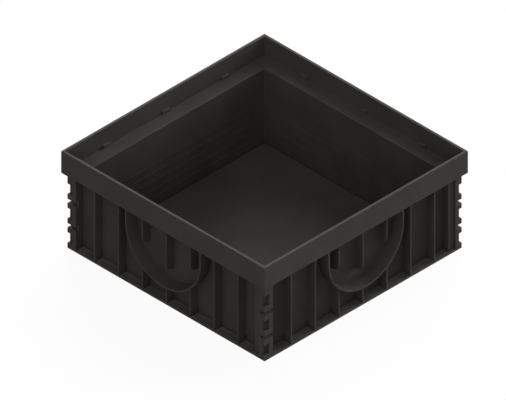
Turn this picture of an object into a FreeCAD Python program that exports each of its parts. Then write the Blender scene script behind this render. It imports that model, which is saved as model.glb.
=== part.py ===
import FreeCAD, Part
import math
import os
from FreeCAD import Vector

# Surface water gully: a shallow square drain box moulded in one piece.
# Millimetres, +Z up. The origin is the middle of the underside and the four sides are alike,
# so each feature is drawn once on the side that faces -Y and then turned round the Z axis.

# Rim and grate seat
rim_side = 300.0  # outside of the square rim
total_height = 123.4  # underside to rim top
rim_height = 27.7  # face of the rim
rim_wall = 3.3
seat_width = 17.2  # ledge that the grate lies on
seat_plate = 3.7  # thickness of that ledge
rim_edge_round = 0.3

# Chamber
chamber_wall = 4.5
floor_thickness = 4.0
chamber_corner_round = 1.0

# Base flange and upright ribs
rim_overhang = 4.65  # how far the rim stands out over the ribs, posts and flange
flange_thickness = 2.0
rib_pitch = 35.2
rib_thickness = 1.7

# Half-pipe collar on each side
collar_inner_radius = 54.0  # at its mouth
collar_wall = 1.8
collar_draft = 1.2  # how much its radius shrinks from the mouth to the root in the wall
collar_sill = 24.7  # lowest point of the collar above the underside
stub_arc_radius = 44.3  # the short ribs inside the collar end on this arc
stub_arc_lift = 5.6  # middle of that arc above the collar axis
stub_nose_round = 9.0  # lower front corner of a short rib

# Keyed corner posts
post_left_width = 12.1  # as seen from outside, at the left end of a side
post_right_width = 8.9  # at the right end of a side
shoulder_width = 8.2  # set-back strip beside the right post
shoulder_depth = 2.7
pocket_width = 7.3
pocket_height = 13.4
pocket_depth = 3.9
pocket_pitch = 31.1
lowest_pocket = 6.6  # underside to the lower edge of the first pocket
key_slot_height = 5.5  # slots that run round the corner between the pockets
key_slot_depth = 4.5
key_slot_wrap = 6.6  # how far a slot runs on past the corner

# Grate stops on the seat
stop_length = 10.0
stop_proud = 2.5
stop_height = 4.5
stop_spacing = 87.5

# Fine level lines on the chamber walls
line_count = 5
line_pitch = 10.6
lowest_line = 16.0
line_proud = 0.35
line_height = 1.0
line_end_gap = 24.0  # left plain beside each chamber corner

# Levels and half widths that follow from the sizes above
side_count = 4
under_rim = total_height - rim_height
seat_level = under_rim + seat_plate
rim_half = rim_side / 2
rim_inside = rim_half - rim_wall
chamber_half = rim_inside - seat_width
wall_half = chamber_half + chamber_wall
body_half = rim_half - rim_overhang
wall_middle = chamber_half + chamber_wall / 2
plate_middle = under_rim + seat_plate / 2
collar_outer_radius = collar_inner_radius + collar_wall
collar_axis = collar_sill + collar_outer_radius


def prism(points, run):
    """Solid made by pushing a closed outline along a vector."""
    outline = Part.makePolygon(points + points[:1])
    return Part.Face(outline).extrude(run)


def block(x, y, z):
    """Upright block between the given pairs of limits."""
    return Part.makeBox(x[1] - x[0], y[1] - y[0], z[1] - z[0], Vector(x[0], y[0], z[0]))


def all_sides(shapes):
    """Copies of the shapes of one side, turned onto all four."""
    copies = []
    for side in range(side_count):
        for shape in shapes:
            copies.append(shape.copy().rotate(Vector(), Vector(0, 0, 1), side * 360 / side_count))
    return copies


def wall_ring():
    """Rim, seat, chamber wall and base flange: one section swept round the square with mitred corners."""
    section = [
        Vector(0, -rim_half, under_rim),
        Vector(0, -rim_half, total_height),
        Vector(0, -rim_inside, total_height),
        Vector(0, -rim_inside, seat_level),
        Vector(0, -chamber_half, seat_level),
        Vector(0, -chamber_half, 0),
        Vector(0, -body_half, 0),
        Vector(0, -body_half, flange_thickness),
        Vector(0, -wall_half, flange_thickness),
        Vector(0, -wall_half, under_rim),
    ]
    profile = Part.makePolygon(section + section[:1])
    corners = [
        Vector(0, -wall_half, 0),
        Vector(wall_half, -wall_half, 0),
        Vector(wall_half, wall_half, 0),
        Vector(-wall_half, wall_half, 0),
        Vector(-wall_half, -wall_half, 0),
    ]
    path = Part.makePolygon(corners + corners[:1])
    mitred = 1
    return path.makePipeShell([profile], True, False, mitred)


def chamber_floor():
    """Plain closed floor of the chamber."""
    return block((-wall_middle, wall_middle), (-wall_middle, wall_middle), (0, floor_thickness))


def u_outline(radius, depth):
    """U-shaped outline about the collar axis, open upwards past the rim, at a depth from the middle."""
    top = collar_axis + total_height
    left = Vector(-radius, -depth, collar_axis)
    right = Vector(radius, -depth, collar_axis)
    lowest = Vector(0, -depth, collar_axis - radius)
    left_top = Vector(-radius, -depth, top)
    right_top = Vector(radius, -depth, top)
    edges = [
        Part.LineSegment(left_top, left).toShape(),
        Part.Arc(left, lowest, right).toShape(),
        Part.LineSegment(right, right_top).toShape(),
        Part.LineSegment(right_top, left_top).toShape(),
    ]
    return Part.Wire(edges)


def upright_u(radius):
    """U-shaped bar that narrows from the rim face into the wall and ends inside the seat plate."""
    mouth = u_outline(radius, rim_half)
    root = u_outline(radius - collar_draft, wall_middle)
    bar = Part.makeLoft([mouth, root], True, True)
    return bar.common(block((-rim_half, rim_half), (-rim_half, 0), (0, plate_middle)))


def rib_middles():
    """Places of the upright ribs of one side, evenly spaced from its middle."""
    reach = body_half - post_right_width - shoulder_width - rib_thickness
    each_way = int(reach // rib_pitch)
    return [step * rib_pitch for step in range(-each_way, each_way + 1)]


def ribs():
    """Upright ribs of one side."""
    bars = []
    for middle in rib_middles():
        edges = (middle - rib_thickness / 2, middle + rib_thickness / 2)
        bars.append(block(edges, (-body_half, -wall_middle), (0, plate_middle)))
    return Part.makeCompound(bars)


def short_rib(middle):
    """Rib that hangs inside the collar, with a rounded nose at its lower front corner."""
    side = middle - rib_thickness / 2
    foot = collar_axis + stub_arc_lift - math.sqrt(stub_arc_radius**2 - middle**2)
    nose_inset = stub_nose_round * (1 - math.sqrt(0.5))
    front_top = Vector(side, -body_half, plate_middle)
    nose_top = Vector(side, -body_half, foot + stub_nose_round)
    nose = Vector(side, -body_half + nose_inset, foot + nose_inset)
    nose_end = Vector(side, -body_half + stub_nose_round, foot)
    back_foot = Vector(side, -wall_middle, foot)
    back_top = Vector(side, -wall_middle, plate_middle)
    edges = [
        Part.LineSegment(front_top, nose_top).toShape(),
        Part.Arc(nose_top, nose, nose_end).toShape(),
        Part.LineSegment(nose_end, back_foot).toShape(),
        Part.LineSegment(back_foot, back_top).toShape(),
        Part.LineSegment(back_top, front_top).toShape(),
    ]
    return Part.Face(Part.Wire(edges)).extrude(Vector(rib_thickness, 0, 0))


def ribbed_collar():
    """Collar of one side with the ribs that it cuts and the short ribs that hang inside it."""
    opening = upright_u(collar_inner_radius)
    collar = upright_u(collar_outer_radius).cut(opening)
    short_ribs = [short_rib(middle) for middle in rib_middles() if abs(middle) < stub_arc_radius]
    return [collar] + ribs().cut(opening).Solids + short_ribs


def corner_post():
    """Post at the left end of the side, with the shoulder that belongs to the side round the corner."""
    edge = -body_half
    plan = [
        Vector(edge, edge, 0),
        Vector(edge + post_left_width, edge, 0),
        Vector(edge + post_left_width, -wall_middle, 0),
        Vector(-wall_middle, -wall_middle, 0),
        Vector(-wall_middle, edge + post_right_width + shoulder_width, 0),
        Vector(edge + shoulder_depth, edge + post_right_width + shoulder_width, 0),
        Vector(edge + shoulder_depth, edge + post_right_width, 0),
        Vector(edge, edge + post_right_width, 0),
    ]
    return prism(plan, Vector(0, 0, plate_middle))


def pocket_levels():
    """Lower edges of the pockets that fit on a post."""
    room = under_rim - lowest_pocket - pocket_height
    return [lowest_pocket + step * pocket_pitch for step in range(int(room // pocket_pitch) + 1)]


def post_cuts():
    """Pockets on the left post and slots round the corner between them."""
    edge = -body_half
    cuts = []
    across = (edge, edge + pocket_width)
    inward = (edge, edge + pocket_depth)
    for level in pocket_levels():
        cuts.append(block(across, inward, (level, level + pocket_height)))
    for level in pocket_levels()[:-1]:
        slot_plan = [
            Vector(edge, edge, 0),
            Vector(edge + post_left_width, edge, 0),
            Vector(edge + post_left_width, edge + key_slot_depth, 0),
            Vector(edge + key_slot_depth, edge + key_slot_depth, 0),
            Vector(edge + key_slot_depth, edge + key_slot_wrap, 0),
            Vector(edge, edge + key_slot_wrap, 0),
        ]
        slot = prism(slot_plan, Vector(0, 0, key_slot_height))
        slot_middle = level + (pocket_height + pocket_pitch) / 2
        slot.translate(Vector(0, 0, slot_middle - key_slot_height / 2))
        cuts.append(slot)
    return cuts


def grate_stops():
    """Small blocks that stand on the seat against the rim and locate the grate."""
    stops = []
    inward = (-rim_inside - rim_wall / 2, -rim_inside + stop_proud)
    upward = (plate_middle, seat_level + stop_height)
    for step in (-1, 0, 1):
        middle = step * stop_spacing
        edges = (middle - stop_length / 2, middle + stop_length / 2)
        stops.append(block(edges, inward, upward))
    return stops


def level_lines():
    """Fine ridges along the lower half of the chamber wall."""
    half_length = chamber_half - line_end_gap
    ridges = []
    for step in range(line_count):
        level = lowest_line + step * line_pitch
        section = [
            Vector(-half_length, -wall_middle, level - line_height / 2),
            Vector(-half_length, -chamber_half, level - line_height / 2),
            Vector(-half_length, -chamber_half + line_proud, level),
            Vector(-half_length, -chamber_half, level + line_height / 2),
            Vector(-half_length, -wall_middle, level + line_height / 2),
        ]
        ridges.append(prism(section, Vector(2 * half_length, 0, 0)))
    return ridges


def upright_edges(shape, half):
    """Upright edges of the shape at the four corners of a centred square."""
    found = []
    for edge in shape.Edges:
        box = edge.BoundBox
        at_corner = abs(abs(box.Center.x) - half) < 0.01 and abs(abs(box.Center.y) - half) < 0.01
        if at_corner and box.ZLength > 1 and box.XLength < 0.01 and box.YLength < 0.01:
            found.append(edge)
    return found


def edges_at_level(shape, level):
    """Edges of the shape that lie in one level plane."""
    found = []
    for edge in shape.Edges:
        box = edge.BoundBox
        if abs(box.ZMin - level) < 0.01 and abs(box.ZMax - level) < 0.01:
            found.append(edge)
    return found


def gully_body():
    """The whole moulding."""
    ring = wall_ring().fuse(chamber_floor()).removeSplitter()
    ring = ring.makeFillet(chamber_corner_round, upright_edges(ring, chamber_half))
    ring = ring.makeFillet(rim_edge_round, edges_at_level(ring, total_height))
    added = ribbed_collar() + [corner_post()] + grate_stops() + level_lines()
    body = ring.fuse(all_sides(added)).cut(all_sides(post_cuts()))
    return body.removeSplitter()


os.makedirs("parts", exist_ok=True)
gully = gully_body()
print("solids", len(gully.Solids), "valid", gully.isValid(), "volume", round(gully.Volume))
gully.exportStep("parts/gully_body.step")
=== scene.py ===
import math

import bpy
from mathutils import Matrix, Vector


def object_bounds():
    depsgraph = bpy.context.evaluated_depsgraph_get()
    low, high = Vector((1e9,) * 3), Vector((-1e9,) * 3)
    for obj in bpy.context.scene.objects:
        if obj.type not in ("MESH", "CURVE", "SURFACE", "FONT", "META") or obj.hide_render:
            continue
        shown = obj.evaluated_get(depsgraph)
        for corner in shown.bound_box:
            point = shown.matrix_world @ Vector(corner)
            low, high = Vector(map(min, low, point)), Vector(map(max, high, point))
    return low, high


# Surface water gully in charcoal plastic, standing on a white studio floor.
# Metres and degrees, +Z up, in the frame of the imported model.

# Camera: a true isometric view, framed as the photograph is
IMAGE_WIDTH = 506
IMAGE_HEIGHT = 400
RIM_DIAGONAL_PX = 406.88  # from the left rim corner to the right one
RIM_CENTRE_PX = (264.55, 151.03)
VIEW_AZIMUTH = -45.0
VIEW_ELEVATION = math.degrees(math.atan(math.sqrt(0.5)))
CAMERA_DISTANCE = 2.5

# Plastic: its mottled colour and its finish
CHARCOAL = (0.0590, 0.0563, 0.0504)
CHARCOAL_DEEP = (0.0494, 0.0471, 0.0422)
PATCHES = (22.0, 6.0)  # noise scale per metre and its detail
GRAIN = (1100.0, 2.0)
GRAIN_IN_MOTTLE = 0.35
MOTTLE_SPAN = (0.56, 0.80)  # mottle at the deep and at the full tone
SPECULAR_LEVEL = 0.05
LEAST_ROUGHNESS = 0.5
MOST_ROUGHNESS = 0.72
GRAIN_BUMP = 0.25
GRAIN_DEPTH = 0.00015
EDGE_RADIUS = 0.0008
EDGE_SAMPLES = 6

# Layers on it, with amounts from 0 to 1: a dusty tone that also paints light on level faces, painted shade
# in creases and hollows, and a worn tone that also paints highlights on edges
DUST_AND_LIGHT_TONE = (0.104, 0.100, 0.091)
PAINTED_SHADE_TONE = (0.016, 0.015, 0.014)
WEAR_AND_HIGHLIGHT_TONE = (0.152, 0.146, 0.134)
DUST_AND_LIGHT_ON_RIM = 0.42  # Dust and painted light on the rim, and on the seat inside it
DUST_AND_LIGHT_ON_FLOOR = 0.32  # Dust and painted light on the floor of the chamber, and on the flange
DUST_AND_LIGHT_ON_FLANGE = 0.35  # added there
DUST_AND_LIGHT_AT_FLANGE_FOOT = 0.7  # Dust and painted light added on the flange where the wall meets it and shades it
THIN_DUST_AND_LIGHT = 0.6  # Dust and painted light: share that lies where the mottle is low
DUST_AND_LIGHT_SPAN = (0.35, 1.0)  # Dust and painted light: mottle at their thin and at their full layer
PAINTED_SHADE_AT_FEET = 0.4  # Painted shade at the feet of all walls
FOOT_HEIGHTS = (0.013, 0.009)  # Painted shade starts and is full below these
PAINTED_SHADE_IN_HOLLOWS = 0.14  # Painted shade in the hollows of the ribbed sides
# Worn edges with painted highlights, most on level edges such as the rim top
WEAR_AND_HIGHLIGHT_ON_LEVEL = 0.8
WEAR_AND_HIGHLIGHT_ON_UPRIGHT = 0.25
CREASE_REACH = 0.006
HOLLOW_REACH = 0.025
CLOSE_SAMPLES = 8
IN_CORNER = 0.5  # openness of a place in a square corner, where an open one has 1

# Limits between the places that the dusty painted light and the painted shade tell apart
LEVEL_FACES = (0.93, 0.99)  # upward part of the normal at which a face starts to be, and is, level
OVER_COLLARS = 0.094  # seat and rim above, sheltered collars below
OVER_FLOOR = 0.006  # chamber floor and flange below
OVER_FLANGE = 0.0035  # only the flange below
UNDER_RIM = 0.0957
WALL_CORE = 0.133  # from the middle, ribbed sides further out
LIMIT_FADE = 0.001

# Light: a dim even sky with soft bright patches, given by azimuth, elevation, tightness and level
SKY_LEVEL = 0.02
SKY_PATCHES = {
    "behind_right": (74.0, 13.8, 14.35, 9.6),
    "behind_left": (137.6, 33.2, 20.0, 8.15),
    "in_front": (303.0, 22.4, 3.34, 1.63),
}

# Floor: its glow makes the white that is seen, and a little matt grey takes the shadow
FLOOR_SIZE = 30.0
FLOOR_DROP = 0.0005
FLOOR_GLOW = 0.945
FLOOR_SHADE = 0.06
FLOOR_BOUNCE = 0.25


def towards(azimuth, elevation):
    """Direction that lies at an angle round from +X and at an angle above the ground."""
    azimuth = math.radians(azimuth)
    elevation = math.radians(elevation)
    along_x = math.cos(azimuth) * math.cos(elevation)
    along_y = math.sin(azimuth) * math.cos(elevation)
    return Vector((along_x, along_y, math.sin(elevation)))


def new_node(tree, kind, **settings):
    """Adds a node and sets its properties, or its inputs where the name is that of an input."""
    node = tree.nodes.new(kind)
    for name, value in settings.items():
        if hasattr(node, name):
            setattr(node, name, value)
        else:
            node.inputs[name.capitalize()].default_value = value
    return node


def combine(tree, operation, first, *others):
    """Sum, product or the like of a value and others, each of them a value or a number."""
    for other in others:
        node = new_node(tree, "ShaderNodeMath", operation=operation)
        tree.links.new(first, node.inputs[0])
        if isinstance(other, float):
            node.inputs[1].default_value = other
        else:
            tree.links.new(other, node.inputs[1])
        first = node.outputs[0]
    return first


def ramp(tree, value, start, end, high=1.0, low=0.0):
    """A value that runs from low to high while the given one runs from start to end."""
    node = new_node(tree, "ShaderNodeMapRange")
    tree.links.new(value, node.inputs["Value"])
    node.inputs["From Min"].default_value = start
    node.inputs["From Max"].default_value = end
    node.inputs["To Min"].default_value = low
    node.inputs["To Max"].default_value = high
    return node.outputs["Result"]


def above(tree, value, limit, amount=1.0):
    """The amount where a value is above a limit, and nothing below it."""
    return ramp(tree, value, limit, limit + LIMIT_FADE, amount)


def below(tree, value, limit, amount=1.0):
    """The amount where a value is below a limit, and nothing above it."""
    return ramp(tree, value, limit, limit - LIMIT_FADE, amount)


def noise(tree, place, scale, detail):
    """Noise over the object's own coordinates, with the size of its grain given per metre."""
    node = new_node(tree, "ShaderNodeTexNoise", scale=scale, detail=detail)
    tree.links.new(place, node.inputs["Vector"])
    return node.outputs["Fac"]


def parts(tree, vector):
    """Outputs with the X, Y and Z parts of a vector."""
    node = new_node(tree, "ShaderNodeSeparateXYZ")
    tree.links.new(vector, node.inputs[0])
    return node.outputs


def outward(tree, place):
    """Distance of a place from the middle, square to the nearest side."""
    mirrored = new_node(tree, "ShaderNodeVectorMath", operation="ABSOLUTE")
    tree.links.new(place, mirrored.inputs[0])
    sideways = parts(tree, mirrored.outputs["Vector"])
    return combine(tree, "MAXIMUM", sideways["X"], sideways["Y"])


def closeness(tree, reach, inside):
    """How closely other surface stands round a point: a crease from outside, an edge from inside."""
    node = new_node(
        tree,
        "ShaderNodeAmbientOcclusion",
        samples=CLOSE_SAMPLES,
        only_local=True,
        inside=inside,
        distance=reach,
    )
    return ramp(tree, node.outputs["AO"], 1.0, IN_CORNER)


def layer(tree, amount, under, colour):
    """Covers what lies under it with a colour, by an amount from 0 to 1."""
    node = new_node(tree, "ShaderNodeMix", data_type="RGBA")
    tree.links.new(amount, node.inputs["Factor"])
    tree.links.new(under, node.inputs["A"])
    node.inputs["B"].default_value = (*colour, 1)
    return node.outputs["Result"]


def mottled_colour(tree, mottle):
    """Colour of the bare plastic, between its deep and its full tone."""
    node = new_node(tree, "ShaderNodeValToRGB")
    tones = zip(node.color_ramp.elements, MOTTLE_SPAN, (CHARCOAL_DEEP, CHARCOAL))
    for element, position, colour in tones:
        element.position = position
        element.color = (*colour, 1)
    tree.links.new(mottle, node.inputs["Fac"])
    return node.outputs["Color"]


def dust_and_painted_light(tree, height, level, crease, mottle):
    """Dust and painted light on the faces that look up: on the rim and seat, on the floor, and most on the
    flange, with extra painted light at the flange's foot where the wall shades it.
    """
    on_rim = above(tree, height, OVER_COLLARS, DUST_AND_LIGHT_ON_RIM)
    on_floor = below(tree, height, OVER_FLOOR, DUST_AND_LIGHT_ON_FLOOR)
    foot = ramp(tree, crease, 0.0, 1.0, DUST_AND_LIGHT_ON_FLANGE + DUST_AND_LIGHT_AT_FLANGE_FOOT, DUST_AND_LIGHT_ON_FLANGE)
    on_flange = combine(tree, "MULTIPLY", foot, below(tree, height, OVER_FLANGE))
    settled_and_lit = combine(tree, "ADD", on_rim, on_floor, on_flange)
    uneven = ramp(tree, mottle, *DUST_AND_LIGHT_SPAN, low=THIN_DUST_AND_LIGHT)
    return combine(tree, "MULTIPLY", settled_and_lit, uneven, level)


def painted_crease_shade(tree, place, height, level, crease):
    """Painted shade on the upright faces: darker at the feet of the walls, and thinly in the ribbed sides'
    hollows.
    """
    at_feet = combine(tree, "MULTIPLY", crease, ramp(tree, height, *FOOT_HEIGHTS, PAINTED_SHADE_AT_FEET))
    hollow = closeness(tree, HOLLOW_REACH, inside=False)
    ribbed = above(tree, outward(tree, place), WALL_CORE)
    in_hollows = combine(tree, "MULTIPLY", hollow, ribbed, below(tree, height, UNDER_RIM, PAINTED_SHADE_IN_HOLLOWS))
    upright = ramp(tree, level, 1.0, 0.0)
    return combine(tree, "MULTIPLY", combine(tree, "ADD", at_feet, in_hollows), upright)


def moulded_plastic():
    """Charcoal plastic with a fine moulded grain, uneven colour, a dusty tone with painted light on level
    faces, painted shade in creases and hollows, and worn edges with painted highlights.
    """
    material = bpy.data.materials.new("charcoal_plastic")
    material.use_nodes = True
    tree = material.node_tree
    link = tree.links.new
    shader = tree.nodes["Principled BSDF"]
    shader.inputs["Specular IOR Level"].default_value = SPECULAR_LEVEL

    surface = new_node(tree, "ShaderNodeTexCoord").outputs
    place = surface["Object"]
    patches = noise(tree, place, *PATCHES)
    grain = noise(tree, place, *GRAIN)
    mottle = combine(tree, "ADD", combine(tree, "MULTIPLY", grain, GRAIN_IN_MOTTLE), patches)
    height = parts(tree, place)["Z"]
    level = ramp(tree, parts(tree, surface["Normal"])["Z"], *LEVEL_FACES)
    crease = closeness(tree, CREASE_REACH, inside=False)
    edge = closeness(tree, EDGE_RADIUS, inside=True)

    # Dusty tone as painted light on level faces, painted shade in creases and hollows, worn edges with
    # painted highlights
    dust_and_light = dust_and_painted_light(tree, height, level, crease, mottle)
    # Painted shade in creases and hollows of the upright faces
    painted_shade = painted_crease_shade(tree, place, height, level, crease)
    # Worn edges with painted highlights, stronger on level edges
    rubbed_and_lit = ramp(tree, level, 0.0, 1.0, WEAR_AND_HIGHLIGHT_ON_LEVEL, WEAR_AND_HIGHLIGHT_ON_UPRIGHT)
    wear_and_highlight = combine(tree, "MULTIPLY", edge, patches, rubbed_and_lit)
    colour = layer(tree, dust_and_light, mottled_colour(tree, mottle), DUST_AND_LIGHT_TONE)
    colour = layer(tree, painted_shade, colour, PAINTED_SHADE_TONE)
    colour = layer(tree, wear_and_highlight, colour, WEAR_AND_HIGHLIGHT_TONE)
    link(colour, shader.inputs["Base Color"])

    link(ramp(tree, mottle, 0.0, 1.0, MOST_ROUGHNESS, LEAST_ROUGHNESS), shader.inputs["Roughness"])
    rounded = new_node(tree, "ShaderNodeBevel", samples=EDGE_SAMPLES, radius=EDGE_RADIUS)
    bump = new_node(tree, "ShaderNodeBump", strength=GRAIN_BUMP, distance=GRAIN_DEPTH)
    link(grain, bump.inputs["Height"])
    link(rounded.outputs["Normal"], bump.inputs["Normal"])
    link(bump.outputs["Normal"], shader.inputs["Normal"])
    return material


def seen_directly(tree):
    """A value of 1 for camera, glossy and transmission rays, and 0 for the rest."""
    path = new_node(tree, "ShaderNodeLightPath").outputs
    rays = ("Is Camera Ray", "Is Glossy Ray", "Is Transmission Ray")
    return combine(tree, "MAXIMUM", *[path[ray] for ray in rays])


def diffuse(tree, grey):
    """Plain matt shader of one grey."""
    node = new_node(tree, "ShaderNodeBsdfDiffuse")
    node.inputs["Color"].default_value = (grey, grey, grey, 1)
    return node.outputs[0]


def studio_floor():
    """White floor that keeps a soft shadow and throws little light back up."""
    bpy.ops.mesh.primitive_plane_add(size=FLOOR_SIZE, location=(0, 0, -FLOOR_DROP))
    floor = bpy.context.object
    floor.name = "studio_floor"
    material = bpy.data.materials.new("studio_white")
    material.use_nodes = True
    tree = material.node_tree
    tree.nodes.clear()
    link = tree.links.new
    white = new_node(tree, "ShaderNodeEmission", strength=FLOOR_GLOW)
    shown = new_node(tree, "ShaderNodeAddShader")
    link(diffuse(tree, FLOOR_SHADE), shown.inputs[0])
    link(white.outputs[0], shown.inputs[1])
    either = new_node(tree, "ShaderNodeMixShader")
    link(seen_directly(tree), either.inputs["Fac"])
    link(diffuse(tree, FLOOR_BOUNCE), either.inputs[1])
    link(shown.outputs[0], either.inputs[2])
    output = new_node(tree, "ShaderNodeOutputMaterial")
    link(either.outputs[0], output.inputs["Surface"])
    floor.data.materials.append(material)


def sky_patch(tree, direction, azimuth, elevation, tightness, level):
    """Brightness of a round soft patch of light in the sky."""
    facing = new_node(tree, "ShaderNodeVectorMath", operation="DOT_PRODUCT")
    tree.links.new(direction, facing.inputs[0])
    facing.inputs[1].default_value = towards(azimuth, elevation)
    front = combine(tree, "MAXIMUM", facing.outputs["Value"], 0.0)
    return combine(tree, "MULTIPLY", combine(tree, "POWER", front, tightness), level)


def studio_sky():
    """Soft sky that lights the object, with a plain white backdrop for what sees it directly."""
    world = bpy.data.worlds.new("studio_sky")
    bpy.context.scene.world = world
    world.use_nodes = True
    tree = world.node_tree
    direction = new_node(tree, "ShaderNodeTexCoord").outputs["Generated"]
    patches = [sky_patch(tree, direction, *patch) for patch in SKY_PATCHES.values()]
    light = combine(tree, "ADD", *patches, SKY_LEVEL)
    backdrop = new_node(tree, "ShaderNodeMix", data_type="FLOAT")
    tree.links.new(seen_directly(tree), backdrop.inputs["Factor"])
    tree.links.new(light, backdrop.inputs["A"])
    backdrop.inputs["B"].default_value = 1.0
    background = tree.nodes["Background"]
    background.inputs["Color"].default_value = (1, 1, 1, 1)
    tree.links.new(backdrop.outputs["Result"], background.inputs["Strength"])


def photo_camera(rim_side, rim_top):
    """Parallel camera that puts the rim where the photograph has it."""
    metres_per_px = rim_side * math.sqrt(2) / RIM_DIAGONAL_PX
    right = towards(VIEW_AZIMUTH + 90, 0)
    back = towards(VIEW_AZIMUTH, VIEW_ELEVATION)
    up = back.cross(right)
    across = (IMAGE_WIDTH / 2 - RIM_CENTRE_PX[0]) * metres_per_px
    down = (IMAGE_HEIGHT / 2 - RIM_CENTRE_PX[1]) * metres_per_px
    middle = Vector((0, 0, rim_top)) + right * across - up * down
    data = bpy.data.cameras.new("photo_camera")
    data.type = "ORTHO"
    data.ortho_scale = IMAGE_WIDTH * metres_per_px
    camera = bpy.data.objects.new("photo_camera", data)
    camera.location = middle + back * CAMERA_DISTANCE
    camera.rotation_mode = "QUATERNION"
    camera.rotation_quaternion = (-back).to_track_quat("-Z", "Y")
    bpy.context.scene.collection.objects.link(camera)
    bpy.context.scene.camera = camera


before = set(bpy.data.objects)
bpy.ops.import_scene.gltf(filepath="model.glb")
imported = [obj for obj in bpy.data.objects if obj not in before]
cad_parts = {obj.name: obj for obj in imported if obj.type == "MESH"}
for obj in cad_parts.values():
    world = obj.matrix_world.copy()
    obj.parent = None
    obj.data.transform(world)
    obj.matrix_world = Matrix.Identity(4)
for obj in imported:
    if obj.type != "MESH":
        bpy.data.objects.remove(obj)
cad_low, cad_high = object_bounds()
bpy.context.scene.view_settings.view_transform = "Standard"

plastic = moulded_plastic()
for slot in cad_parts["gully_body"].material_slots:
    slot.material = plastic

studio_floor()
studio_sky()
photo_camera(cad_high.x - cad_low.x, cad_high.z)
